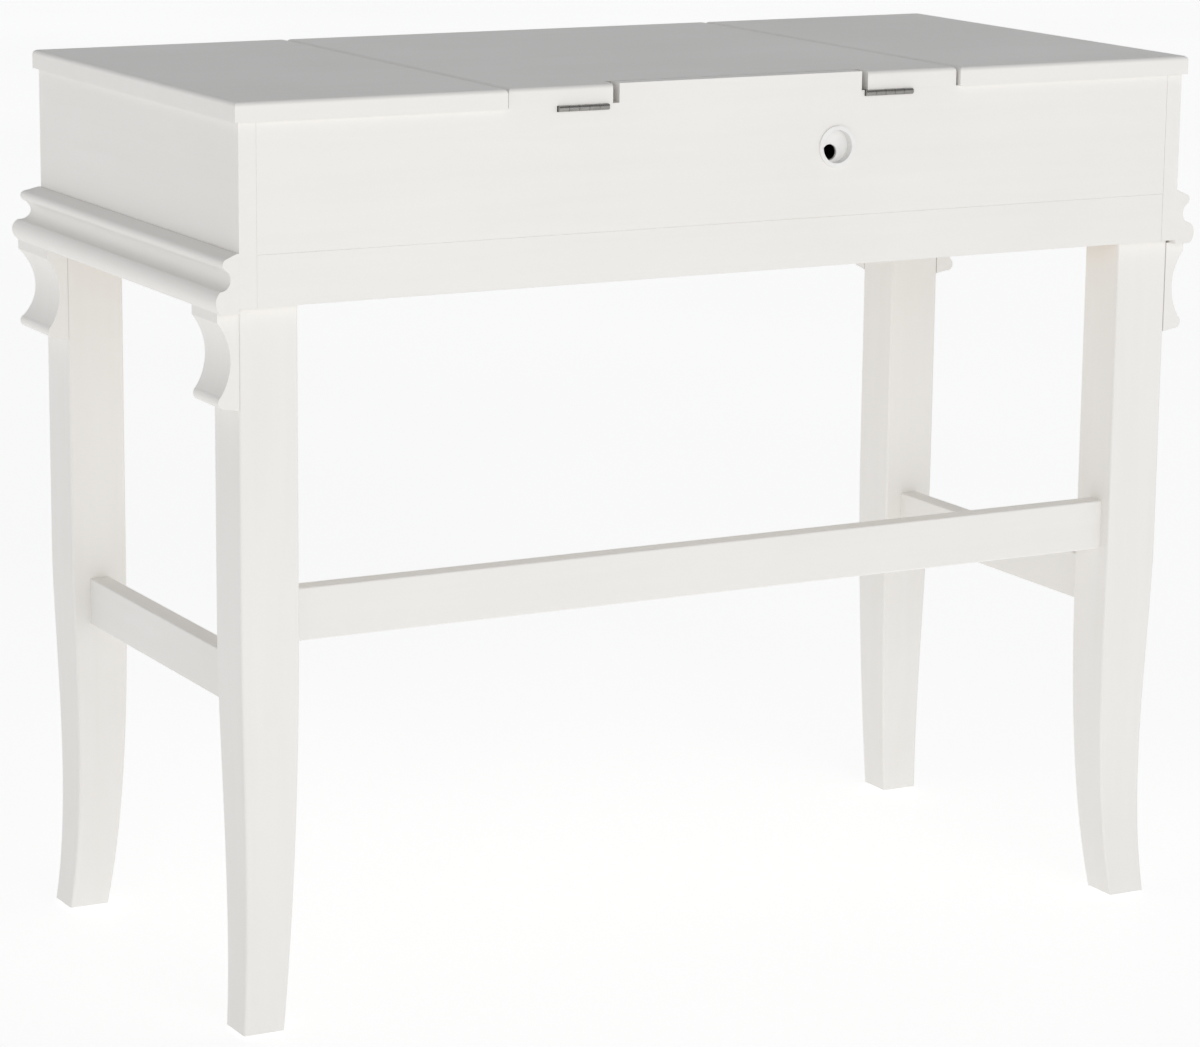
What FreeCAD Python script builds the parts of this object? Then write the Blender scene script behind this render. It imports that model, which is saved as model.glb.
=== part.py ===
"""Vanity table with a flip-up mirror lid and two sliding side lids.

+X is to the right and -Y to the front, for someone sitting at the table. +Z is up and the floor is z = 0.
The model is drawn with y = 0 midway through the case, and place() moves it so that y = 0 is midway
through the whole table. All sizes are in millimetres.
"""
import FreeCAD, Part
import math
import os

V = FreeCAD.Vector
UP = V(0, 0, 1)
SIDES = {"right": 1, "left": -1}
ENDS = {"rear": 1, "front": -1}

# Overall sizes
case_width = 900.0
case_depth = 430.0
table_height = 768.0
case_height = 147.0            # underside of the lids to the tops of the legs

# Boards
panel_thickness = 15.0
divider_thickness = 12.0
bottom_thickness = 6.0
rail_height = 42.0             # rear rail, under the back panel
cleat_height = 20.0
cleat_width = 15.0
corner_block_size = 60.0
seam_chamfer = 0.4             # eases the edges of the back panel and rail, so their joints show

# Lids
lid_thickness = 16.0
lid_round = 4.0
center_lid_width = 430.0       # middle of one seam to the middle of the other
lid_gap = 2.2
lid_side_overhang = 4.0
lid_rear_overhang = 3.5
lid_front_overhang = 4.5

# Tongue of the back panel between the hinges
tongue_width = 232.0
tongue_middle = -3.5           # middle of the tongue, in x
tongue_kerf = 6.0              # gap at each end of the tongue
tongue_clearance = 1.0         # between the tongue and the lid that swings past it

# Legs
leg_width = 51.0
leg_round = 2.0
leg_side_inset = 3.0           # outer face of a leg, in from the side of the case
leg_front_inset = 1.0
leg_rear_inset = 8.5
leg_straight = 275.0           # length of the straight upper part
foot_out = 26.8                # outer and inner faces of the foot, from the middle of the leg
foot_in = 9.6
ankle_pull = 11.0              # how far the hollow of the outer faces is drawn in
glide_diameter = 18.0
glide_height = 3.0

# Stretchers
stretcher_thickness = 18.0
rear_stretcher_height = 44.0
rear_stretcher_z = 326.0
rear_stretcher_recess = 13.0   # in from the back faces of the legs
side_stretcher_height = 42.0
side_stretcher_z = 266.0
edge_round = 1.5
stretcher_scribe = 3.0         # extra length at each end, cut to the curve of the leg

# Base moulding round the sides and front
mould_below = 3.5              # it hangs this far below the case
mould_bead = 14.0              # how far the bead, the cove and the nose stand out
mould_cove = 7.5
mould_nose = 20.0
mould_height = 47.5

# Scalloped brackets at the tops of the legs
bracket_height = 79.5
bracket_top = 18.5             # how far the top, the waist and the bottom nose stand out
bracket_waist = 7.5
bracket_nose = 18.0

# Dowels and leg bolts
dowel_diameter = 8.0
dowel_length = 36.0
dowel_pitch = 20.0
bolt_diameter = 8.0
bolt_length = 60.0
bolt_head_flats = 13.0
bolt_head_height = 5.3
washer_diameter = 16.0
washer_thickness = 1.6
bolt_recess_diameter = 18.0
bolt_recess_depth = 8.0
bolt_share = 0.6               # bolt and dowel, as shares of the way across the top of a leg from its inner
turn_dowel_share = 0.25        # faces to where the corner block ends

# Wood screws
screw_diameter = 3.0
screw_head = 6.0
screw_length = 12.0
cross_length = 3.4             # cross recess in the screw heads
cross_width = 0.7
cross_depth = 1.2
block_screw_diameter = 4.0
block_screw_head = 8.0
block_screw_length = 44.0

# Butt hinges
hinge_length = 46.5
hinge_spread = 146.2           # middle of the table to the middle of a hinge
hinge_barrel = 5.0
hinge_pin_diameter = 2.5
hinge_running_clearance = 0.05
hinge_leaf_width = 14.0
hinge_leaf_thickness = 1.2
hinge_axis_out = 1.0           # hinge axis, behind the back of the case
hinge_knuckles = 5
knuckle_gap = 0.3
hinge_end_clearance = 0.5

# Mirror under the middle lid
mirror_side_gap = 13.0         # to the dividers, room for the lid stay
mirror_front_gap = 4.0
mirror_swing_clearance = 2.0   # behind the mirror frame, as it swings up past the tongue
mirror_frame_width = 28.0
mirror_frame_thickness = 12.0
mirror_rebate = 6.0
mirror_lip = 4.0
mirror_glass_thickness = 4.0
mirror_bevel = 5.0

# Lid stay: a slotted arm that turns on the lid and slides on a pin in the right divider
lid_open_angle = 100.0
stay_radius = 55.0             # hinge axis to the stay's pivot, and to the pin
stay_pivot_angle = -5.0        # degrees above the level line in front of the hinge axis
stay_pin_angle = -25.0
stay_arm_width = 11.0
stay_arm_thickness = 2.0
stay_plate_thickness = 1.5
stay_plate_length = 26.0
stay_gap = 0.5
stay_wall_gap = 1.0            # between the lid plate and the divider
stay_rivet_diameter = 4.0
stay_rivet_head = 7.0
stay_running_clearance = 0.05
stay_pin_diameter = 5.0
stay_pin_head = 9.0
stay_pin_clearance = 0.25
stay_pin_screw = 4.0
stay_pin_screw_length = 8.0

# Runners of the side lids
guide_width = 10.0
guide_height = 8.0
guide_drop = 6.0               # underside of the lid to the top of the guide
hook_length = 60.0
hook_web = 5.0
hook_foot = 4.0
hook_clearance = 1.0
hook_end_gap = 3.5

# Cord grommet in the back panel
grommet_x = -96.3
grommet_drop = 62.3            # below the top of the lids
grommet_sleeve = 31.0
grommet_flange = 35.0
grommet_flange_thickness = 1.5
grommet_bore = 28.0
grommet_ledge_bore = 25.0
grommet_recess = 7.5           # face of the cap, below the face of the flange
grommet_cap_thickness = 2.5
grommet_cap_clearance = 0.05
cord_hole_diameter = 13.6
cord_hole_offset = 6.4
cord_hole_angle = -55.0        # degrees, from +X towards +Z

# Places worked out from the sizes
half_width = case_width / 2
half_depth = case_depth / 2
lid_z = table_height - lid_thickness
case_z = lid_z - case_height
inner_x = half_width - panel_thickness
inner_y = half_depth - panel_thickness
rail_top = case_z + rail_height
bottom_z = case_z + cleat_height
floor_z = bottom_z + bottom_thickness
seam_x = center_lid_width / 2
divider_in = seam_x - divider_thickness / 2
divider_out = seam_x + divider_thickness / 2

leg_half = leg_width / 2
leg_x = half_width - leg_side_inset - leg_half
leg_y = {"rear": half_depth - leg_rear_inset - leg_half, "front": -half_depth + leg_front_inset + leg_half}
leg_curve_z = case_z - leg_straight

hinge_radius = hinge_barrel / 2
axis_y = half_depth + hinge_axis_out
axis_z = lid_z - hinge_radius
tongue_reach = math.hypot(axis_y - inner_y, table_height - axis_z) + tongue_clearance

front_reach = half_depth + mould_nose
rear_reach = half_depth + max(hinge_axis_out + hinge_radius, lid_rear_overhang)
middle_y = (rear_reach - front_reach) / 2

hook_start = divider_out + hook_end_gap
side_lid_travel = inner_x - hook_clearance - hook_start - hook_length


def box(x, y, z):
    """Box between the two limits given along each axis, in either order."""
    low = V(min(x), min(y), min(z))
    return Part.makeBox(max(x) - low.x, max(y) - low.y, max(z) - low.z, low)


def rod(diameter, start, end):
    """Round bar from start to end."""
    return Part.makeCylinder(diameter / 2, (end - start).Length, start, end - start)


def face(path, spot):
    """Flat face inside a path. A step is a point, an arc's (middle, end), or a list of a curve's poles."""
    here = first = spot(*path[0])
    edges = []
    for step in path[1:]:
        if isinstance(step, list):
            curve = Part.BezierCurve()
            curve.setPoles([here] + [spot(*pole) for pole in step])
            edges.append(curve.toShape())
            here = spot(*step[-1])
        elif isinstance(step[0], tuple):
            edges.append(Part.Arc(here, spot(*step[0]), spot(*step[1])).toShape())
            here = spot(*step[1])
        else:
            edges.append(Part.makeLine(here, spot(*step)))
            here = spot(*step)
    edges.append(Part.makeLine(here, first))
    return Part.Face(Part.Wire(edges))


def flipped(shape, side=1, end=1):
    """The shape, mirrored across x = 0 for side -1 and across y = 0 for end -1."""
    if side < 0:
        shape = shape.mirror(V(0, 0, 0), V(1, 0, 0))
    if end < 0:
        shape = shape.mirror(V(0, 0, 0), V(0, 1, 0))
    return shape


def rounded(shape, radius, wanted):
    """The shape with a fillet on each edge that wanted() picks."""
    return shape.makeFillet(radius, [edge for edge in shape.Edges if wanted(edge)])


def is_upright(edge):
    box_ = edge.BoundBox
    return box_.ZLength > max(box_.XLength, box_.YLength)


def along(axis):
    """Picks the edges that run along one axis, as 0, 1 or 2 for X, Y or Z."""
    return lambda edge: abs(edge.tangentAt(edge.FirstParameter)[axis]) > 0.99


def screw(point, direction, length=screw_length):
    """Countersunk wood screw whose head is flush with the surface at point."""
    sink = (screw_head - screw_diameter) / 2
    head = Part.makeCone(screw_head / 2, screw_diameter / 2, sink, point, direction)
    return head.fuse(rod(screw_diameter, point, point + direction * length))


def crossed(screws):
    """Upright screws, with a cross recess in each head."""
    made = []
    for solid in screws.Solids:
        flats = [part for part in solid.Faces if part.Surface.TypeId == "Part::GeomPlane"]
        head = max(flats, key=lambda part: part.Area)
        middle = head.CenterOfMass
        z = (middle.z, middle.z - head.normalAt(0, 0).z * cross_depth)
        for x, y in ((cross_length, cross_width), (cross_width, cross_length)):
            across = (middle.x - x / 2, middle.x + x / 2), (middle.y - y / 2, middle.y + y / 2)
            solid = solid.cut(box(*across, z))
        made.append(solid)
    return Part.makeCompound(made)


def place(name, shape):
    """Write one node, moved so that the whole table is centred on y = 0."""
    shape = shape.removeSplitter() if len(shape.Solids) == 1 else shape
    shape = shape.copy()
    shape.translate(V(0, -middle_y, 0))
    shape.exportStep(os.path.join("parts", name + ".step"))


# ---------------------------------------------------------------- legs

def leg_outline():
    """Leg seen from the front or from the side: distance outward from its middle, and height."""
    half = leg_curve_z / 2
    return [(-leg_half, case_z), (leg_half, case_z), (leg_half, leg_curve_z),
            [(leg_half, half * 1.5), (leg_half - ankle_pull, half * 0.66), (foot_out, glide_height)],
            (-foot_in, glide_height),
            [(-leg_half, half * 0.66), (-leg_half, half * 1.4), (-leg_half, leg_curve_z)]]


def leg_blank():
    """Rear right leg about its own middle, with the same outline from the front and from the side."""
    reach = 2 * leg_width
    from_front = face(leg_outline(), lambda x, z: V(x, -reach, z)).extrude(V(0, 2 * reach, 0))
    from_side = face(leg_outline(), lambda y, z: V(-reach, y, z)).extrude(V(2 * reach, 0, 0))
    return rounded(from_front.common(from_side), leg_round, is_upright)


def leg_middle(side, end):
    return V(SIDES[side] * leg_x, leg_y[end], 0)


def undrilled_leg(side, end):
    body = flipped(leg_blank(), SIDES[side], ENDS[end])
    body.translate(leg_middle(side, end))
    return body


def leg(side, end):
    return undrilled_leg(side, end).cut(dowels()).cut(leg_bolt(side, end))


def under_block(side, end, share):
    """Point at a share of the way across the part of a leg's top that lies under its corner block."""
    sign, towards = SIDES[side], ENDS[end]
    x = leg_x - leg_half
    y = towards * leg_y[end] - leg_half
    return V(sign * (x + share * (inner_x - x)), towards * (y + share * (inner_y - y)), 0)


def glide(side, end):
    """Nylon glide under the middle of a foot."""
    shift = (foot_out - foot_in) / 2
    middle = leg_middle(side, end) + V(SIDES[side] * shift, ENDS[end] * shift, 0)
    return rod(glide_diameter, middle, middle + UP * glide_height)


def bolt_seat(side, end):
    """Where the washer of a leg bolt lies, at the bottom of the recess in the corner block."""
    return under_block(side, end, bolt_share) + UP * (bottom_z - bolt_recess_depth)


def leg_washer(side, end):
    seat = bolt_seat(side, end)
    return rod(washer_diameter, seat, seat + UP * washer_thickness).cut(leg_bolt(side, end))


def leg_bolt(side, end):
    """Hexagon bolt down through the corner block into the leg."""
    seat = bolt_seat(side, end) + UP * washer_thickness
    radius = bolt_head_flats / math.sqrt(3)
    corners = [seat + V(radius * math.cos(k * math.pi / 3), radius * math.sin(k * math.pi / 3), 0)
               for k in range(7)]
    head = Part.Face(Part.makePolygon(corners)).extrude(UP * bolt_head_height)
    return head.fuse(rod(bolt_diameter, seat - UP * bolt_length, seat))


# ---------------------------------------------------------------- stretchers and dowels

def rear_stretcher_y():
    """Back and front faces of the rear stretcher."""
    back = leg_y["rear"] + leg_half - rear_stretcher_recess
    return back, back - stretcher_thickness


def rear_stretcher():
    end = leg_x - leg_half + stretcher_scribe
    z = (rear_stretcher_z, rear_stretcher_z + rear_stretcher_height)
    bar = rounded(box((-end, end), rear_stretcher_y(), z), edge_round, along(0))
    return scribed(bar, ("right", "rear"), ("left", "rear"))


def scribed(bar, *legs):
    """The bar, with its ends cut to the faces of the legs and drilled for the dowels."""
    for side, end in legs:
        bar = bar.cut(undrilled_leg(side, end))
    return bar.cut(dowels())


def side_stretcher(side):
    half = stretcher_thickness / 2
    x = (SIDES[side] * (leg_x - half), SIDES[side] * (leg_x + half))
    y = (leg_y["front"] + leg_half - stretcher_scribe, leg_y["rear"] - leg_half + stretcher_scribe)
    z = (side_stretcher_z, side_stretcher_z + side_stretcher_height)
    return scribed(rounded(box(x, y, z), edge_round, along(1)), (side, "rear"), (side, "front"))


def dowel(middle, direction):
    half = direction * (dowel_length / 2)
    return rod(dowel_diameter, middle - half, middle + half)


def dowels():
    """Two dowels at each end of each stretcher, and one that keeps each leg from turning on its bolt."""
    pins = []
    for side, sign in SIDES.items():
        for step in (-dowel_pitch / 2, dowel_pitch / 2):
            rear_z = rear_stretcher_z + rear_stretcher_height / 2 + step
            pins.append(dowel(V(sign * (leg_x - leg_half), sum(rear_stretcher_y()) / 2, rear_z), V(1, 0, 0)))
            side_z = side_stretcher_z + side_stretcher_height / 2 + step
            for end, towards in ENDS.items():
                pins.append(dowel(V(sign * leg_x, leg_y[end] - towards * leg_half, side_z), V(0, 1, 0)))
        for end in ENDS:
            pins.append(dowel(under_block(side, end, turn_dowel_share) + UP * case_z, UP))
    return Part.makeCompound(pins)


# ---------------------------------------------------------------- case

def corner_block(side, end):
    sign, towards = SIDES[side], ENDS[end]
    x = (sign * inner_x, sign * (inner_x - corner_block_size))
    y = (towards * inner_y, towards * (inner_y - corner_block_size))
    seat = bolt_seat(side, end)
    block = box(x, y, (case_z, bottom_z))
    block = block.cut(rod(bolt_recess_diameter, seat, seat + UP * bolt_recess_depth))
    return block.cut(leg_bolt(side, end)).cut(dowels()).cut(block_screw_hole(side, end))


def block_screw_line(side, end):
    """Start of the access hole, seat of the head and point of the screw, outward along X."""
    sign, towards = SIDES[side], ENDS[end]
    y = towards * (inner_y - corner_block_size * 0.85)
    z = (case_z + bottom_z) / 2
    point = inner_x + panel_thickness * 0.7
    return [V(sign * x, y, z) for x in (inner_x - corner_block_size, point - block_screw_length, point)]


def block_screw(side, end):
    """Screw through a corner block into the side panel."""
    access, seat, point = block_screw_line(side, end)
    out = V(SIDES[side], 0, 0)
    return rod(block_screw_head, seat, seat + out * 2).fuse(rod(block_screw_diameter, seat, point))


def block_screw_hole(side, end):
    access, seat, point = block_screw_line(side, end)
    return rod(block_screw_head, access, seat).fuse(block_screw(side, end))


def end_cleat(end):
    towards = ENDS[end]
    x = inner_x - corner_block_size
    return box((-x, x), (towards * inner_y, towards * (inner_y - cleat_width)), (case_z, bottom_z))


def side_cleat(side):
    sign = SIDES[side]
    y = inner_y - corner_block_size
    return box((sign * inner_x, sign * (inner_x - cleat_width)), (-y, y), (case_z, bottom_z))


def bottom_panel():
    return box((-inner_x, inner_x), (-inner_y, inner_y), (bottom_z, floor_z))


def front_panel():
    return box((-half_width, half_width), (-half_depth, -inner_y), (case_z, lid_z))


def side_panel(side):
    sign = SIDES[side]
    panel = box((sign * inner_x, sign * half_width), (-inner_y, half_depth), (case_z, lid_z))
    for end in ENDS:
        panel = panel.cut(block_screw(side, end))
    return panel


def rear_rail():
    rail = box((-inner_x, inner_x), (inner_y, half_depth), (case_z, rail_top))
    seam = [edge for edge in rail.Edges if edge.BoundBox.YMin > inner_y + 1 and not is_bottom(edge)]
    return rail.makeChamfer(seam_chamfer, seam)


def is_bottom(edge):
    return edge.BoundBox.ZMax < case_z + 1


def hinge_recess(side):
    """Notch in the top edge of the back panel that a hinge lies in."""
    middle = SIDES[side] * hinge_spread
    half = hinge_length / 2 + hinge_end_clearance
    return box((middle - half, middle + half), (inner_y, half_depth), (axis_z - hinge_radius, lid_z))


def back_panel():
    """Back panel with its raised tongue, the hinge notches and the hole for the cord grommet."""
    tongue = box(tongue_span(0), (inner_y, half_depth), (rail_top, table_height))
    panel = box((-inner_x, inner_x), (inner_y, half_depth), (rail_top, lid_z))
    seam = [edge for edge in panel.Edges
            if edge.BoundBox.YMin > inner_y + 1 and edge.BoundBox.ZMin < lid_z - 1]
    panel = panel.makeChamfer(seam_chamfer, seam).fuse(tongue_above_seam(tongue))
    for side in SIDES:
        panel = panel.cut(hinge_recess(side)).cut(case_leaf_screws(side))
    return panel.cut(grommet_rod(grommet_sleeve, inner_y, half_depth))


def tongue_span(extra):
    """Limits in x of the tongue, or of a wider gap round it."""
    half = tongue_width / 2 + extra
    return tongue_middle - half, tongue_middle + half


def tongue_above_seam(tongue):
    """The tongue without the part that the chamfered seam of the panel takes."""
    return tongue.cut(box((-half_width, half_width), (-half_depth, half_depth), (rail_top, lid_z - 2)))


def divider(side):
    sign = SIDES[side]
    board = box((sign * divider_in, sign * divider_out), (-inner_y, inner_y), (floor_z, lid_z))
    return board.cut(stay_pin())


# ---------------------------------------------------------------- base moulding and brackets

def moulding_outline():
    """Bead, cove and nose: distance out from the case, and height."""
    base = case_z - mould_below
    top = base + mould_height
    return [(0, base), (mould_nose - 4, base), (mould_nose - 2, base + 2.5),
            ((mould_nose, base + 10), (mould_nose - 4, base + 18)),
            ((mould_cove, base + 25), (mould_bead - 3, base + 34.5)),
            ((mould_bead, base + 39.5), (mould_bead - 4, base + 44)),
            (2, top), (0, top)]


def bracket_outline():
    """Scallop between two noses: distance out from the leg, and height."""
    top = case_z - mould_below
    foot = top - bracket_height
    waist = foot + bracket_height * 0.54
    return [(0, foot), (bracket_nose - 7, foot + 2),
            ((bracket_nose, foot + 7), (bracket_nose - 2, foot + 12.5)),
            ((bracket_waist, waist), (bracket_top, top - 8)),
            (bracket_top, top), (0, top)]


def side_run(outline, side, x, y_front, y_rear, mitred):
    """Moulding along Y on a face at x. Its front end is mitred at the corner, or square."""
    reach = mould_nose if mitred else 0
    length = y_rear - y_front + reach
    shape = face(outline, lambda out, z: V(x + out, y_front - reach, z)).extrude(V(0, length, 0))
    if mitred:
        mitre = [(x, y_front), (x + reach, y_front - reach), (x + reach, y_rear), (x, y_rear)]
        shape = shape.common(prism(mitre))
    return flipped(shape, SIDES[side])


def front_run(outline, x_from, x_to, y, mitre_from):
    """Moulding along X on a face at y, mitred at x_to, and at x_from too if mitre_from is set."""
    reach = mould_nose
    start = x_from - (reach if mitre_from else 0)
    shape = face(outline, lambda out, z: V(start, y - out, z)).extrude(V(x_to + reach - start, 0, 0))
    return shape.common(prism([(x_from, y), (x_to, y), (x_to + reach, y - reach), (start, y - reach)]))


def prism(corners):
    """Upright block over the corners, taller than the table."""
    points = [V(x, y, 0) for x, y in corners]
    return Part.Face(Part.makePolygon(points + points[:1])).extrude(UP * table_height)


def side_bracket(side, end):
    middle = leg_y[end]
    ends = (middle - leg_half, middle + leg_half)
    return side_run(bracket_outline(), side, leg_x + leg_half, *ends, end == "front")


def front_bracket(side):
    face_y = leg_y["front"] - leg_half
    run = front_run(bracket_outline(), leg_x - leg_half, leg_x + leg_half, face_y, False)
    return flipped(run, SIDES[side])


# ---------------------------------------------------------------- lids

def slab(x, y):
    """Lid board with eased top edges."""
    board = box(x, y, (lid_z, table_height))
    return rounded(board, lid_round, lambda edge: edge.BoundBox.ZMin > table_height - 1)


def center_lid():
    """Middle lid, cut away behind so that it swings clear of the tongue."""
    half = seam_x - lid_gap / 2
    lid = slab((-half, half), (-half_depth - lid_front_overhang, half_depth))
    start, end = tongue_span(tongue_kerf)
    lid = lid.cut(rod(2 * tongue_reach, V(start, axis_y, axis_z), V(end, axis_y, axis_z)))
    return lid.cut(lid_screws())


def side_lid(side):
    x = (seam_x + lid_gap / 2, half_width + lid_side_overhang)
    return flipped(slab(x, (-half_depth - lid_front_overhang, half_depth + lid_rear_overhang)), SIDES[side])


def guide_z():
    """Underside and top of the guide rails."""
    top = lid_z - guide_drop
    return top - guide_height, top


def guide_rail(side, end):
    """Fixed rail that the hooks of a side lid slide under."""
    sign, towards = SIDES[side], ENDS[end]
    y = (towards * inner_y, towards * (inner_y - guide_width))
    return box((sign * divider_out, sign * inner_x), y, guide_z())


def slider_hook(side, end):
    """Runner under a side lid, whose foot turns in below the guide rail."""
    sign, towards = SIDES[side], ENDS[end]
    x = (sign * hook_start, sign * (hook_start + hook_length))
    web = inner_y - guide_width - hook_clearance
    foot_top = guide_z()[0] - hook_clearance
    upright = box(x, (towards * web, towards * (web - hook_web)), (foot_top - hook_foot, lid_z))
    foot = box(x, (towards * (inner_y - hook_clearance), towards * (web - hook_web)),
               (foot_top - hook_foot, foot_top))
    return upright.fuse(foot)


# ---------------------------------------------------------------- hinges

def hinge_knuckle_spans(side, on_lid):
    """Start and end in x of each knuckle that belongs to the lid leaf, or to the case leaf."""
    pitch = hinge_length / hinge_knuckles
    start = SIDES[side] * hinge_spread - hinge_length / 2
    return [(start + k * pitch + knuckle_gap / 2, start + (k + 1) * pitch - knuckle_gap / 2)
            for k in range(hinge_knuckles) if (k % 2 == 1) == on_lid]


def hinge_leaf(side, on_lid):
    """One leaf: a plate tangent to the barrel, and its knuckles."""
    level = axis_z + (hinge_radius if on_lid else -hinge_radius)
    z = (level, level - hinge_leaf_thickness) if on_lid else (level, level + hinge_leaf_thickness)
    middle = SIDES[side] * hinge_spread
    front = axis_y - hinge_leaf_width
    clear = hinge_radius + knuckle_gap
    leaf = box((middle - hinge_length / 2, middle + hinge_length / 2), (front, axis_y - clear), z)
    for start, end in hinge_knuckle_spans(side, on_lid):
        leaf = leaf.fuse(box((start, end), (axis_y - clear - 1, axis_y), z))
        leaf = leaf.fuse(rod(hinge_barrel, V(start, axis_y, axis_z), V(end, axis_y, axis_z)))
    clearance = hinge_running_clearance if on_lid else 0
    leaf = leaf.cut(hinge_pin(side, 2 * clearance))
    return leaf.cut(lid_leaf_screws(side) if on_lid else case_leaf_screws(side))


def hinge_pin(side, extra=0):
    middle = SIDES[side] * hinge_spread
    return rod(hinge_pin_diameter + extra, V(middle - hinge_length / 2, axis_y, axis_z),
               V(middle + hinge_length / 2, axis_y, axis_z))


def leaf_screw_row(side, z, direction):
    """Three screws along the middle of a leaf."""
    y = axis_y - (hinge_radius + hinge_leaf_width) / 2
    middle = SIDES[side] * hinge_spread
    heads = [V(middle + step * hinge_length / 3, y, z) for step in (-1, 0, 1)]
    return Part.makeCompound([screw(head, direction) for head in heads])


def case_leaf_screws(side):
    return leaf_screw_row(side, axis_z - hinge_radius + hinge_leaf_thickness, -UP)


def lid_leaf_screws(side):
    return leaf_screw_row(side, lid_z - hinge_leaf_thickness, UP)


# ---------------------------------------------------------------- mirror

def mirror_limits(inset=0):
    """Limits in x and y of the mirror frame, or of an outline inside it."""
    x = divider_in - mirror_side_gap - inset
    rear = axis_y - tongue_reach - mirror_swing_clearance - inset
    return (-x, x), (-inner_y + mirror_front_gap + inset, rear)


def mirror_frame():
    """Flat frame with a rebate for the glass and a bevel round the sight edge."""
    low = lid_z - mirror_frame_thickness
    frame = box(*mirror_limits(), (low, lid_z))
    sight = box(*mirror_limits(mirror_frame_width), (low, lid_z))
    rebate = box(*mirror_limits(mirror_frame_width - mirror_rebate), (low + mirror_lip, lid_z))
    return frame.cut(mirror_bevel_cut(low)).cut(sight).cut(rebate)


def mirror_bevel_cut(low):
    """Hopper-shaped cut that slopes from the face of the frame to its sight edge."""
    wide = mirror_wire(mirror_frame_width - mirror_bevel, low)
    narrow = mirror_wire(mirror_frame_width, low + mirror_lip * 0.6)
    return Part.makeLoft([wide, narrow], True)


def mirror_wire(inset, z):
    (x0, x1), (y0, y1) = mirror_limits(inset)
    return Part.makePolygon([V(x0, y0, z), V(x1, y0, z), V(x1, y1, z), V(x0, y1, z), V(x0, y0, z)])


def mirror_glass():
    low = lid_z - mirror_frame_thickness + mirror_lip
    return box(*mirror_limits(mirror_frame_width - mirror_rebate), (low, low + mirror_glass_thickness))


def mirror_backing():
    low = lid_z - mirror_frame_thickness + mirror_lip + mirror_glass_thickness
    return box(*mirror_limits(mirror_frame_width - mirror_rebate), (low, lid_z))


# ---------------------------------------------------------------- lid stay

def stay_spot(x, degrees):
    """Point at the stay's radius from the hinge axis, at an angle above the level line in front of it."""
    turn = math.radians(degrees)
    return V(x, axis_y - stay_radius * math.cos(turn), axis_z + stay_radius * math.sin(turn))


def stay_reach(lid_angle):
    """Distance from the pivot on the lid to the pin on the divider, with the lid open at lid_angle."""
    return 2 * stay_radius * math.sin(math.radians(lid_angle + stay_pivot_angle - stay_pin_angle) / 2)


plate_x = divider_in - mirror_side_gap / 2 - stay_plate_thickness - stay_gap
arm_x = plate_x + stay_plate_thickness + stay_gap
pin_x = arm_x - stay_gap


def stay_arm():
    """Slotted arm, drawn along -Z from its pivot and then turned to point at the pin."""
    length = stay_reach(lid_open_angle)
    half = stay_arm_width / 2
    slot_half = stay_pin_diameter / 2 + stay_pin_clearance
    slot_top = stay_reach(0) - 1
    arm = lozenge(half, 0, length + slot_half).cut(lozenge(slot_half, slot_top, length))
    bore = stay_rivet_diameter + 2 * stay_running_clearance
    arm = arm.cut(rod(bore, V(0, 0, 0), V(stay_arm_thickness, 0, 0)))
    lean = (stay_pivot_angle + stay_pin_angle) / 2
    arm.rotate(V(0, 0, 0), V(1, 0, 0), -lean)
    arm.translate(stay_spot(arm_x, stay_pivot_angle))
    return arm


def lozenge(half, top, bottom):
    """Flat bar with round ends, centred on z = -top and z = -bottom."""
    outline = [(-half, -top), ((0, -top + half), (half, -top)),
               (half, -bottom), ((0, -bottom - half), (-half, -bottom))]
    return face(outline, lambda y, z: V(0, y, z)).extrude(V(stay_arm_thickness, 0, 0))


def stay_plate():
    """Angle plate under the lid that carries the pivot."""
    pivot = stay_spot(plate_x, stay_pivot_angle)
    half = stay_plate_length / 2
    web = stay_arm_width / 2 + 1
    top = box((plate_x, divider_in - stay_wall_gap), (pivot.y - half, pivot.y + half),
              (lid_z - stay_plate_thickness, lid_z))
    across = (plate_x, plate_x + stay_plate_thickness)
    cheek = box(across, (pivot.y - web, pivot.y + web), (pivot.z - web, lid_z))
    return top.fuse(cheek).cut(stay_rivet()).cut(stay_screws())


def stay_screws():
    """Two screws that hold the angle plate to the lid."""
    pivot = stay_spot(plate_x, stay_pivot_angle)
    x = (plate_x + stay_plate_thickness + divider_in - stay_wall_gap) / 2
    reach = stay_plate_length / 2 - screw_head / 2 - 0.5
    level = lid_z - stay_plate_thickness
    return Part.makeCompound([screw(V(x, pivot.y + step * reach, level), UP) for step in (-1, 1)])


def stay_rivet():
    """Rivet through the plate and the arm, with a head beyond the arm."""
    shank_end = arm_x + stay_arm_thickness + stay_gap / 2
    start, end, tip = (stay_spot(x, stay_pivot_angle) for x in (plate_x, shank_end, shank_end + 1.2))
    shank = rod(stay_rivet_diameter, start, end)
    head = rod(stay_rivet_head, end, tip)
    return shank.fuse(head)


def stay_pin():
    """Shouldered pin in the right divider that the slot of the arm slides on."""
    def step(diameter, start, end):
        return rod(diameter, stay_spot(start, stay_pin_angle), stay_spot(end, stay_pin_angle))
    collar = arm_x + stay_arm_thickness + stay_gap
    pin = step(stay_pin_head, pin_x - 1.5, pin_x).fuse(step(stay_pin_diameter, pin_x, collar))
    pin = pin.fuse(step(stay_pin_head, collar, divider_in))
    return pin.fuse(step(stay_pin_screw, divider_in, divider_in + stay_pin_screw_length))


def lid_screws():
    """All the screws in the underside of the middle lid."""
    return Part.makeCompound([lid_leaf_screws("right"), lid_leaf_screws("left"), stay_screws()])


# ---------------------------------------------------------------- cord grommet

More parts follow.
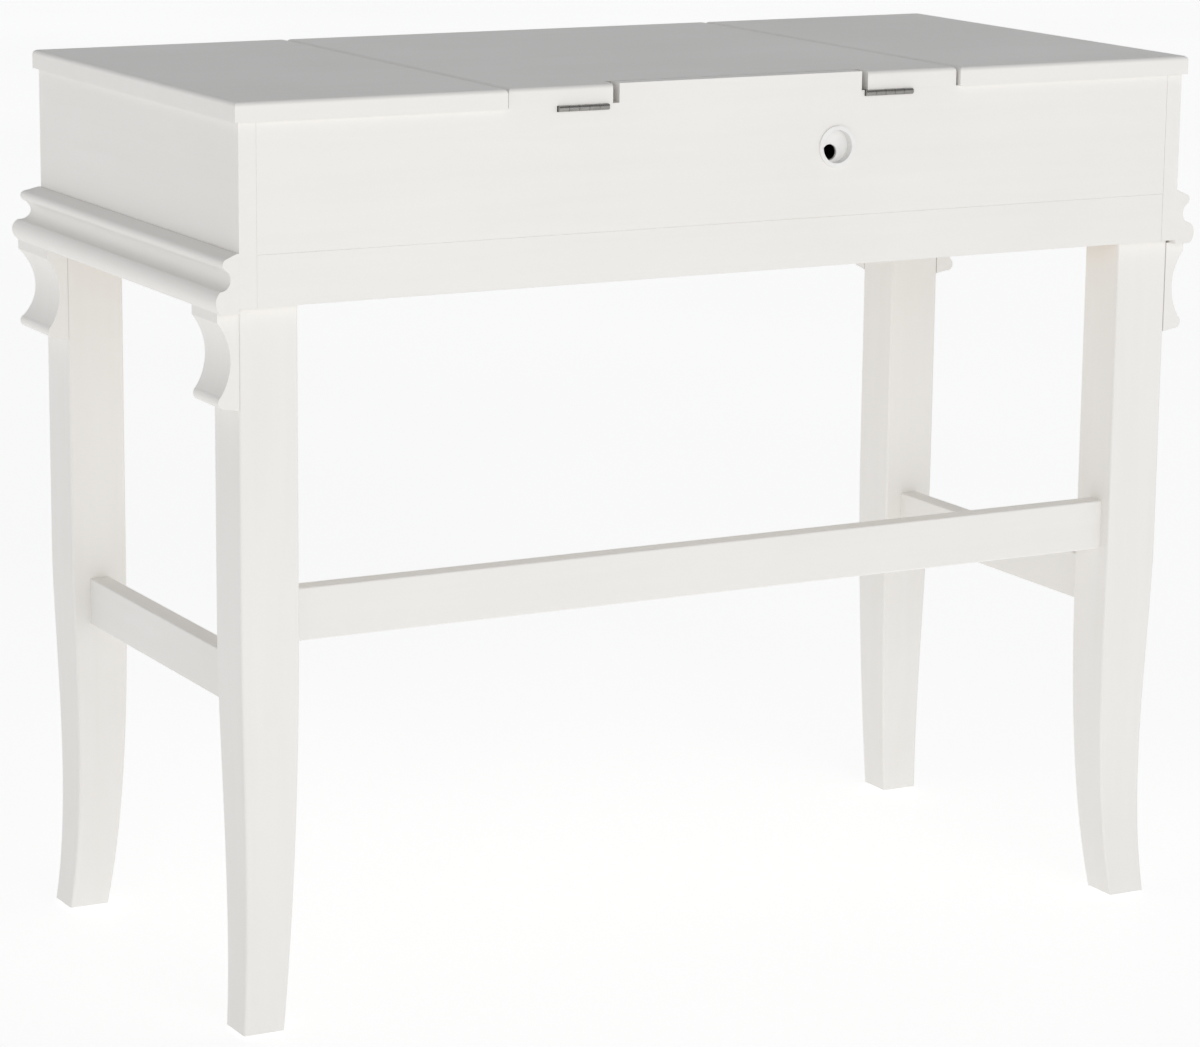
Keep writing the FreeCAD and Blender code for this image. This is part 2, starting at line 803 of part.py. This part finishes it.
grommet_z = table_height - grommet_drop


def grommet_rod(diameter, y_from, y_to):
    """Bar along Y on the middle line of the grommet."""
    return rod(diameter, V(grommet_x, y_from, grommet_z), V(grommet_x, y_to, grommet_z))


def cap_face_y():
    return half_depth + grommet_flange_thickness - grommet_recess


def grommet_ring():
    ring = grommet_rod(grommet_sleeve, inner_y, half_depth)
    ring = ring.fuse(grommet_rod(grommet_flange, half_depth, half_depth + grommet_flange_thickness))
    ring = ring.cut(grommet_rod(grommet_ledge_bore, inner_y - 1, rear_reach))
    return ring.cut(grommet_rod(grommet_bore, cap_face_y() - grommet_cap_thickness, rear_reach))


def grommet_cap():
    """Disc that turns in the ring, with a hole off its middle for the cord."""
    diameter = grommet_bore - 2 * grommet_cap_clearance
    cap = grommet_rod(diameter, cap_face_y() - grommet_cap_thickness, cap_face_y())
    turn = math.radians(cord_hole_angle)
    hole = grommet_rod(cord_hole_diameter, inner_y, rear_reach)
    hole.translate(V(cord_hole_offset * math.cos(turn), 0, cord_hole_offset * math.sin(turn)))
    return cap.cut(hole)


def gather(piece, *groups):
    """Pieces of one kind, joined in one node as separate solids."""
    return Part.makeCompound([piece(*names) for names in groups])


def build():
    os.makedirs("parts", exist_ok=True)
    corners = [(side, end) for side in SIDES for end in ENDS]

    for side, end in corners:
        place(f"leg_{end}_{side}", leg(side, end))
        place(f"bracket_{end}_{side}", side_bracket(side, end))
        place(f"guide_rail_{end}_{side}", guide_rail(side, end))
    for end in ENDS:
        place(f"cleat_{end}", end_cleat(end))
    for side in SIDES:
        place(f"bracket_front_face_{side}", front_bracket(side))
        place(f"stretcher_{side}", side_stretcher(side))
        place(f"cleat_{side}", side_cleat(side))
        place(f"panel_{side}", side_panel(side))
        place(f"divider_{side}", divider(side))
        run = side_run(moulding_outline(), side, half_width, -half_depth, half_depth, True)
        place(f"moulding_{side}", run)
        place(f"lid_{side}", side_lid(side))
        place(f"slider_hooks_{side}", gather(slider_hook, (side, "rear"), (side, "front")))
        place(f"hinge_case_leaf_{side}", hinge_leaf(side, False))
        place(f"hinge_lid_leaf_{side}", hinge_leaf(side, True))
    place("moulding_front", front_run(moulding_outline(), -half_width, half_width, -half_depth, True))
    place("stretcher_rear", rear_stretcher())
    place("dowels", dowels())
    place("foot_glides", gather(glide, *corners))
    place("leg_bolts", gather(leg_bolt, *corners))
    place("leg_washers", gather(leg_washer, *corners))
    place("corner_blocks", gather(corner_block, *corners))
    place("block_screws", gather(block_screw, *corners))

    place("panel_front", front_panel())
    place("panel_back", back_panel())
    place("panel_bottom", bottom_panel())
    place("rail_rear", rear_rail())
    place("grommet_ring", grommet_ring())
    place("grommet_cap", grommet_cap())

    place("lid_center", center_lid())
    place("mirror_frame", mirror_frame())
    place("mirror_glass", mirror_glass())
    place("mirror_backing", mirror_backing())
    place("hinge_pins", gather(hinge_pin, ("right",), ("left",)))
    place("hinge_case_screws", crossed(gather(case_leaf_screws, ("right",), ("left",))))
    place("lid_screws", crossed(lid_screws()))
    place("stay_plate", stay_plate())
    place("stay_rivet", stay_rivet())
    place("stay_arm", stay_arm())
    place("stay_pin", stay_pin())


build()
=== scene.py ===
"""Looks of a white painted vanity table whose middle lid carries a mirror on its underside.

Metres, in the table's own frame: +X to the right and -Y to the front for someone sitting at it, +Z up.
The camera stands behind the table, so the cord grommet and the hinges show.
"""

import math

import bmesh
import bpy
from mathutils import Matrix, Vector


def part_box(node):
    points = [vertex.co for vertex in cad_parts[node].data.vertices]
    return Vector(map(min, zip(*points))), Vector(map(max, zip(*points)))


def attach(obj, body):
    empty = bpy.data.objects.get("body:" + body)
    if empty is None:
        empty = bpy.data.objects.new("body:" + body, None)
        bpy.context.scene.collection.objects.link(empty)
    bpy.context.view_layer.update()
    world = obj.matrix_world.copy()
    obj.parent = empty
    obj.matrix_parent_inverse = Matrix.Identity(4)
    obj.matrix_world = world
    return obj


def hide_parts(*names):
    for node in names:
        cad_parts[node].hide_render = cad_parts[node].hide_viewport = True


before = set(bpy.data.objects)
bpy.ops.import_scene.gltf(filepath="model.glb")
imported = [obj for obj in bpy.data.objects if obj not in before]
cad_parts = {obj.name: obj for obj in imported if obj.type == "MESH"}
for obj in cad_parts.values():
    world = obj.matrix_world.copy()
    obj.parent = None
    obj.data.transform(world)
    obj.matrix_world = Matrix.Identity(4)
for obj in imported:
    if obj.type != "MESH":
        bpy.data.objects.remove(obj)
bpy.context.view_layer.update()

MM = 0.001

# Camera: where it stands, where it looks, and the lens on a 36 mm wide frame
CAMERA_SPOT = (1.7296, 3.1709, 1.1337)
CAMERA_TURN = 151.46           # degrees round from looking along +Y
CAMERA_DIP = 12.29             # degrees below level
CAMERA_ROLL = 0.60
LENS = 124.06

# Paint and its undertones
PAINT_WHITE = (0.872, 0.856, 0.828)
PAINT_SHADE = (0.830, 0.808, 0.768)
# Colour of the painted shade that darkens the paint in creases and corners
PAINT_CREASE_SHADE = (0.62, 0.595, 0.55)
PAINT_THIN = (0.80, 0.765, 0.705)
CREASE_REACH = 5 * MM          # how far the painted crease shade reaches out of a corner
WORN_EDGE = 1.2 * MM           # width of the rubbed paint along an edge

# Studio
FLOOR_REACH = 14.0
SKY_HORIZON = (0.12, (1.0, 1.0, 1.0))          # share of the way up, and its colour
SKY_OVERHEAD = (0.75, (0.25, 0.257, 0.27))
SKY_STRENGTH = 0.96
KEY_SPOT = (0.2, 3.8, 1.3)
KEY_TARGET = (0, 0, 0.45)
KEY_SIZE = 2.4
KEY_POWER = 26                 # watts


# ------------------------------------------------------------------------------ shader building

class Term:
    """A value inside a node tree. Arithmetic on it adds Math nodes."""

    def __init__(self, tree, socket):
        self.tree = tree
        self.socket = socket

    def math(self, operation, *others):
        return self.tree.node("ShaderNodeMath", {"operation": operation}, (self, *others)).out(0)

    def __add__(self, other):
        return self.math("ADD", other)

    def __mul__(self, other):
        return self.math("MULTIPLY", other)

    def __sub__(self, other):
        return self.math("SUBTRACT", other)

    def __rsub__(self, other):
        return (self * -1) + other

    __radd__ = __add__
    __rmul__ = __mul__

    def clamped(self, low, high):
        """The value, rescaled so that low gives 0 and high gives 1, and kept between them."""
        inputs = {"Value": self, "From Min": low, "From Max": high}
        return self.tree.node("ShaderNodeMapRange", {"clamp": True}, inputs).out("Result")


class Node:
    """A node of a tree, whose outputs are read with out()."""

    def __init__(self, tree, node):
        self.tree = tree
        self.node = node

    def out(self, name):
        return Term(self.tree, self.node.outputs[name])


class NodeTree:
    """The nodes of a material or of the sky, which are all added with node()."""

    def __init__(self, owner):
        owner.use_nodes = True
        self.nodes = owner.node_tree.nodes
        self.links = owner.node_tree.links

    def node(self, kind, settings=None, inputs=()):
        """Add a node of a type: its settings first, then the values or links of its sockets."""
        made = self.nodes.new(kind)
        for key, value in (settings or {}).items():
            if key == "stops":
                set_stops(made.color_ramp, value)
            else:
                setattr(made, key, value)
        pairs = inputs.items() if isinstance(inputs, dict) else enumerate(inputs)
        for key, value in pairs:
            if isinstance(value, Term):
                self.links.new(value.socket, made.inputs[key])
            else:
                made.inputs[key].default_value = value
        return Node(self, made)


def set_stops(ramp, stops):
    for element, (position, colour) in zip(ramp.elements, stops):
        element.position = position
        element.color = (*colour, 1)


class Finish(NodeTree):
    """One material. Constants are set on its shader, and what varies is linked with feed()."""

    def __init__(self, name, **constants):
        self.material = bpy.data.materials.new(name)
        super().__init__(self.material)
        self.shader = self.nodes["Principled BSDF"]
        for socket, value in constants.items():
            self.shader.inputs[socket.replace("_", " ")].default_value = value

    def spots(self, stretch=(1, 1, 1)):
        """Object coordinates in metres, drawn out along an axis where stretch is small."""
        place = self.node("ShaderNodeTexCoord").out("Object")
        return self.node("ShaderNodeMapping", None, {"Vector": place, "Scale": stretch}).out(0)

    def noise(self, where, scale, detail=3.0, roughness=0.55, distortion=0.0):
        inputs = {"Vector": where, "Scale": scale, "Detail": detail, "Roughness": roughness,
                  "Distortion": distortion}
        return self.node("ShaderNodeTexNoise", None, inputs).out(0)

    def edges(self, radius):
        """1 on edges that stand out, falling to 0 within this many metres of them."""
        eased = self.node("ShaderNodeBevel", {"samples": 4}, {"Radius": radius}).out(0)
        flat = self.node("ShaderNodeNewGeometry").out("Normal")
        same = self.node("ShaderNodeVectorMath", {"operation": "DOT_PRODUCT"}, (eased, flat)).out("Value")
        return (1 - same).clamped(0.02, 0.25)

    def mix(self, first, second, share):
        """Colour between two others. A colour is three numbers or a Term."""
        inputs = {0: share}
        for socket, colour in ((6, first), (7, second)):
            inputs[socket] = colour if isinstance(colour, Term) else (*colour, 1)
        return self.node("ShaderNodeMix", {"data_type": "RGBA"}, inputs).out(2)

    def bump(self, height, depth, under=None):
        """Normal from a height between 0 and 1 that stands for this depth in metres."""
        inputs = {"Height": height, "Distance": depth, "Strength": 1.0}
        if under is not None:
            inputs["Normal"] = under
        return self.node("ShaderNodeBump", None, inputs).out(0)

    def feed(self, **links):
        for socket, term in links.items():
            self.links.new(term.socket, self.shader.inputs[socket.replace("_", " ")])
        return self.material


# ------------------------------------------------------------------------------ finishes

def grain_stretch(axis, along=0.06):
    """Noise stretch for a grain that runs along axis 0, 1 or 2."""
    return tuple(along if k == axis else 1.0 for k in range(3))


def painted_wood(name, axis):
    """Sprayed satin paint over close-grained board, with the grain only just telegraphing through, and
    painted shade darkening its creases and corners.
    """
    paint = Finish(name, Coat_Weight=0.0, Specular_IOR_Level=0.45)
    spots = paint.spots()
    drawn = paint.spots(grain_stretch(axis))
    cloud = paint.noise(spots, 5.0, 4.0)
    streak = paint.noise(drawn, 55.0, 5.0, 0.6, 0.4)
    peel = paint.noise(spots, 420.0, 2.0, 0.5)
    speck = paint.noise(spots, 1500.0, 2.0, 0.7)
    # Painted shade: ambient occlusion darkens the paint colour in corners and creases, and makes it a
    # little rougher there
    open_air = paint.node("ShaderNodeAmbientOcclusion", {"samples": 6}, {"Distance": CREASE_REACH})
    crease_shade = 1 - open_air.out("AO")
    worn = paint.edges(WORN_EDGE) * cloud.clamped(0.42, 0.62)
    shade = (cloud * 0.55 + streak * 0.45).clamped(0.38, 0.66)
    colour = paint.mix(PAINT_WHITE, PAINT_SHADE, shade * 0.55)
    colour = paint.mix(colour, PAINT_CREASE_SHADE, crease_shade.clamped(0.3, 0.95) * 0.2)
    colour = paint.mix(colour, PAINT_THIN, worn * 0.35)
    rough = 0.36 + cloud * 0.10 + speck * 0.05 + crease_shade * 0.1 - worn * 0.08
    relief = paint.bump(streak, 0.10 * MM, paint.bump(peel, 0.06 * MM))
    return paint.feed(Base_Color=colour, Roughness=rough, Normal=relief)


def bare_wood(name, axis):
    """Planed pine with growth rings, pores and a few darker streaks."""
    wood = Finish(name, Specular_IOR_Level=0.35)
    drawn = wood.spots(grain_stretch(axis))
    warp = wood.noise(drawn, 18.0, 4.0, 0.6, 0.6)
    rings = (warp * 22.0).math("SINE").clamped(-1.0, 1.0)
    pores = wood.noise(wood.spots(grain_stretch(axis, 0.02)), 900.0, 2.0, 0.7)
    broad = wood.noise(drawn, 7.0, 2.0)
    colour = wood.mix((0.74, 0.55, 0.35), (0.60, 0.40, 0.22), rings * 0.6)
    colour = wood.mix(colour, (0.42, 0.26, 0.13), pores.clamped(0.55, 0.8) * 0.5)
    colour = wood.mix(colour, (0.80, 0.64, 0.44), broad.clamped(0.35, 0.75) * 0.4)
    relief = wood.bump(rings + pores, 0.12 * MM)
    return wood.feed(Base_Color=colour, Roughness=0.55 + pores * 0.2, Normal=relief)


def pressed_board(name):
    """Pale laminated fibreboard with a fine fleck."""
    board = Finish(name, Specular_IOR_Level=0.4)
    spots = board.spots()
    fleck = board.noise(spots, 700.0, 3.0, 0.7)
    cloud = board.noise(spots, 9.0, 3.0)
    colour = board.mix((0.80, 0.785, 0.75), (0.70, 0.68, 0.63), fleck.clamped(0.4, 0.75) * 0.5)
    colour = board.mix(colour, (0.84, 0.83, 0.80), cloud * 0.5)
    return board.feed(Base_Color=colour, Roughness=0.5 + fleck * 0.15, Normal=board.bump(fleck, 0.05 * MM))


def plated_metal(name, bright, dark, rough, axis):
    """Plated steel brushed along an axis, duller in faint clouds and handling marks."""
    metal = Finish(name)
    brush = metal.noise(metal.spots(grain_stretch(axis)), 1400.0, 4.0, 0.6)
    cloud = metal.noise(metal.spots(), 60.0, 4.0, 0.6)
    colour = metal.mix(bright, dark, (brush * 0.5 + cloud * 0.5).clamped(0.35, 0.7))
    surface = rough + brush * 0.14 + cloud.clamped(0.45, 0.75) * 0.12
    return metal.feed(Base_Color=colour, Roughness=surface, Metallic=1.0 - cloud * 0.05,
                      Normal=metal.bump(brush, 0.02 * MM))


def moulded_plastic(name, colour, deeper, rough):
    """Moulded plastic with a fine spark-eroded texture and a trace of flow."""
    plastic = Finish(name, Specular_IOR_Level=0.5)
    spots = plastic.spots()
    grit = plastic.noise(spots, 2600.0, 2.0, 0.6)
    flow = plastic.noise(spots, 90.0, 3.0, 0.5, 0.8)
    shade = plastic.mix(colour, deeper, flow.clamped(0.4, 0.7) * 0.6)
    relief = plastic.bump(grit, 0.02 * MM)
    return plastic.feed(Base_Color=shade, Roughness=rough + grit * 0.12, Normal=relief)


def silvered_glass(name):
    """Mirror glass: bright silvering with a trace of dust and wiping marks."""
    glass = Finish(name, Coat_Weight=0.6, Coat_Roughness=0.02)
    wipe = glass.noise(glass.spots((1.0, 0.25, 1.0)), 30.0, 4.0, 0.65, 1.2)
    dust = glass.noise(glass.spots(), 1100.0, 2.0, 0.8)
    mark = wipe.clamped(0.5, 0.8) * 0.6 + dust.clamped(0.62, 0.8) * 0.4
    colour = glass.mix((0.93, 0.945, 0.94), (0.88, 0.895, 0.89), mark)
    return glass.feed(Base_Color=colour, Roughness=0.015 + mark * 0.035, Metallic=1.0 - mark * 0.02)


def painted_floor(name):
    """Pale studio floor that glows a little, so that it stays light under the table."""
    floor = Finish(name, Specular_IOR_Level=0.15, Emission_Strength=1.0)
    cloud = floor.noise(floor.spots(), 0.8, 2.0)
    colour = floor.mix((0.33, 0.33, 0.328), (0.37, 0.37, 0.367), cloud)
    glow = floor.mix((0.76, 0.76, 0.76), (0.79, 0.79, 0.79), cloud)
    return floor.feed(Base_Color=colour, Emission_Color=glow, Roughness=0.6 + cloud * 0.05)


X, Y, Z = 0, 1, 2
PAINTED = {axis: painted_wood(f"white_paint_{name}", axis) for axis, name in ((X, "x"), (Y, "y"), (Z, "z"))}
BARE = {axis: bare_wood(f"bare_wood_{name}", axis) for axis, name in ((X, "x"), (Y, "y"), (Z, "z"))}
BOARD = pressed_board("backing_board")
# Painted shade and reflection: the nickel is given a far darker colour than real plating, standing in for
# the dark reflections along the hinge barrels
DARKENED_NICKEL = plated_metal("nickel", (0.40, 0.39, 0.37), (0.24, 0.235, 0.225), 0.16, X)
ZINC = plated_metal("zinc_steel", (0.66, 0.67, 0.67), (0.50, 0.51, 0.52), 0.34, Z)
PLASTIC = moulded_plastic("white_plastic", (0.86, 0.855, 0.84), (0.80, 0.79, 0.77), 0.32)
NYLON = moulded_plastic("nylon", (0.74, 0.73, 0.70), (0.68, 0.67, 0.64), 0.42)
MIRROR = silvered_glass("mirror_silver")

# Material of each node, by the start of its name. The first that fits is used.
FINISHES = [
    ("leg_bolts", ZINC), ("leg_washers", ZINC), ("leg_", PAINTED[Z]),
    ("bracket_", PAINTED[Z]),
    ("stretcher_rear", PAINTED[X]), ("stretcher_", PAINTED[Y]),
    ("panel_bottom", BOARD), ("panel_front", PAINTED[X]), ("panel_back", PAINTED[X]),
    ("panel_", PAINTED[Y]),
    ("rail_rear", PAINTED[X]), ("moulding_front", PAINTED[X]), ("moulding_", PAINTED[Y]),
    ("divider_", PAINTED[Y]), ("lid_screws", DARKENED_NICKEL), ("lid_", PAINTED[X]), ("mirror_frame", PAINTED[X]),
    ("mirror_glass", MIRROR), ("mirror_backing", BOARD),
    ("cleat_front", BARE[X]), ("cleat_rear", BARE[X]), ("cleat_", BARE[Y]), ("corner_blocks", BARE[Y]),
    ("guide_rail_", BARE[X]), ("slider_hooks_", BARE[X]), ("dowels", BARE[X]),
    ("block_screws", ZINC), ("hinge_", DARKENED_NICKEL), ("stay_", DARKENED_NICKEL),
    ("grommet_", PLASTIC), ("foot_glides", NYLON),
]

# Bevel in millimetres on the edges of the boards, by the start of the node's name
EASED = [("panel_bottom", 0.3), ("panel_back", 0), ("panel_", 0.25), ("divider_", 0.8), ("moulding_", 0.3),
         ("bracket_", 0.3), ("cleat_", 0.6), ("guide_rail_", 0.5), ("mirror_frame", 0.6),
         ("grommet_", 0.35), ("stay_plate", 0.25), ("stay_arm", 0.25)]


def first_match(name, pairs):
    return next((value for start, value in pairs if name.startswith(start)), None)


def dress_nodes():
    """Give each CAD node its finish, smooth shading across its curves, and eased edges."""
    for name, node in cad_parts.items():
        node.data.materials.clear()
        node.data.materials.append(first_match(name, FINISHES))
        for polygon in node.data.polygons:
            polygon.use_smooth = True
        width = first_match(name, EASED)
        if width:
            ease_edges(node, width * MM)
        keep_crisp(node)


def ease_edges(piece, width):
    bevel = piece.modifiers.new("eased_edges", "BEVEL")
    bevel.width = width
    bevel.segments = 2
    bevel.limit_method = "ANGLE"
    bevel.angle_limit = math.radians(40)
    bevel.harden_normals = True


def keep_crisp(piece):
    """Keep the sharp edges sharp under smooth shading."""
    crisp = piece.modifiers.new("crisp_edges", "EDGE_SPLIT")
    crisp.split_angle = math.radians(32)


# ------------------------------------------------------------------------------ mirror glass

def bevelled_mirror():
    """Mirror glass with a ground bevel round its face, in the place of the plain plate."""
    low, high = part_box("mirror_glass")
    ground = 12 * MM               # width of the ground bevel
    drop = 0.9 * MM                # glass taken off at its rim
    mesh = bmesh.new()
    rings = [((low.x, low.y, high.x, high.y), high.z),
             ((low.x, low.y, high.x, high.y), low.z + drop),
             ((low.x + ground, low.y + ground, high.x - ground, high.y - ground), low.z)]
    corners = []
    for (x0, y0, x1, y1), z in rings:
        corners.append([mesh.verts.new((x, y, z)) for x, y in ((x0, y0), (x1, y0), (x1, y1), (x0, y1))])
    for upper, lower in zip(corners, corners[1:]):
        for k in range(4):
            mesh.faces.new((upper[k], upper[(k + 1) % 4], lower[(k + 1) % 4], lower[k]))
    mesh.faces.new(corners[0])
    mesh.faces.new(corners[-1])
    bmesh.ops.recalc_face_normals(mesh, faces=mesh.faces)
    data = bpy.data.meshes.new("bevelled_mirror")
    mesh.to_mesh(data)
    mesh.free()
    data.materials.append(MIRROR)
    piece = bpy.data.objects.new("bevelled_mirror", data)
    bpy.context.collection.objects.link(piece)
    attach(piece, "center_lid")
    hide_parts("mirror_glass")


# ------------------------------------------------------------------------------ stage, light and camera

def studio_floor():
    data = bpy.data.meshes.new("studio_floor")
    corners = [(x * FLOOR_REACH, y * FLOOR_REACH, 0) for x, y in ((-1, -1), (1, -1), (1, 1), (-1, 1))]
    data.from_pydata(corners, [], [(0, 1, 2, 3)])
    data.materials.append(painted_floor("studio_floor"))
    floor = bpy.data.objects.new("studio_floor", data)
    bpy.context.collection.objects.link(floor)


def studio_sky():
    """Even pale surround, white round the horizon and dimmer overhead."""
    world = bpy.data.worlds.new("studio")
    bpy.context.scene.world = world
    sky = NodeTree(world)
    place = sky.node("ShaderNodeTexCoord").out("Generated")
    height = sky.node("ShaderNodeSeparateXYZ", None, (place,)).out("Z")
    fade = sky.node("ShaderNodeValToRGB", {"stops": (SKY_HORIZON, SKY_OVERHEAD)}, (height,)).out("Color")
    background = sky.nodes["Background"]
    sky.links.new(fade.socket, background.inputs["Color"])
    background.inputs["Strength"].default_value = SKY_STRENGTH


def key_light():
    data = bpy.data.lights.new("key", "AREA")
    data.shape = "DISK"
    data.size = KEY_SIZE
    data.energy = KEY_POWER
    light = bpy.data.objects.new("key", data)
    light.matrix_world = looking(Vector(KEY_SPOT), Vector(KEY_TARGET) - Vector(KEY_SPOT))
    bpy.context.collection.objects.link(light)


def looking(spot, direction, roll=0.0):
    """Placement that looks along direction, turned by roll degrees about it."""
    turn = direction.to_track_quat("-Z", "Y").to_matrix().to_4x4()
    return Matrix.Translation(spot) @ turn @ Matrix.Rotation(math.radians(roll), 4, "Z")


def catalogue_camera():
    turn, dip = math.radians(CAMERA_TURN), math.radians(CAMERA_DIP)
    level = math.cos(dip)
    direction = Vector((-math.sin(turn) * level, math.cos(turn) * level, -math.sin(dip)))
    data = bpy.data.cameras.new("catalogue_camera")
    data.sensor_width = 36
    data.lens = LENS
    camera = bpy.data.objects.new("catalogue_camera", data)
    camera.matrix_world = looking(Vector(CAMERA_SPOT), direction, CAMERA_ROLL)
    bpy.context.collection.objects.link(camera)
    bpy.context.scene.camera = camera


dress_nodes()
bevelled_mirror()
studio_floor()
studio_sky()
key_light()
catalogue_camera()
bpy.context.scene.view_settings.view_transform = "Standard"
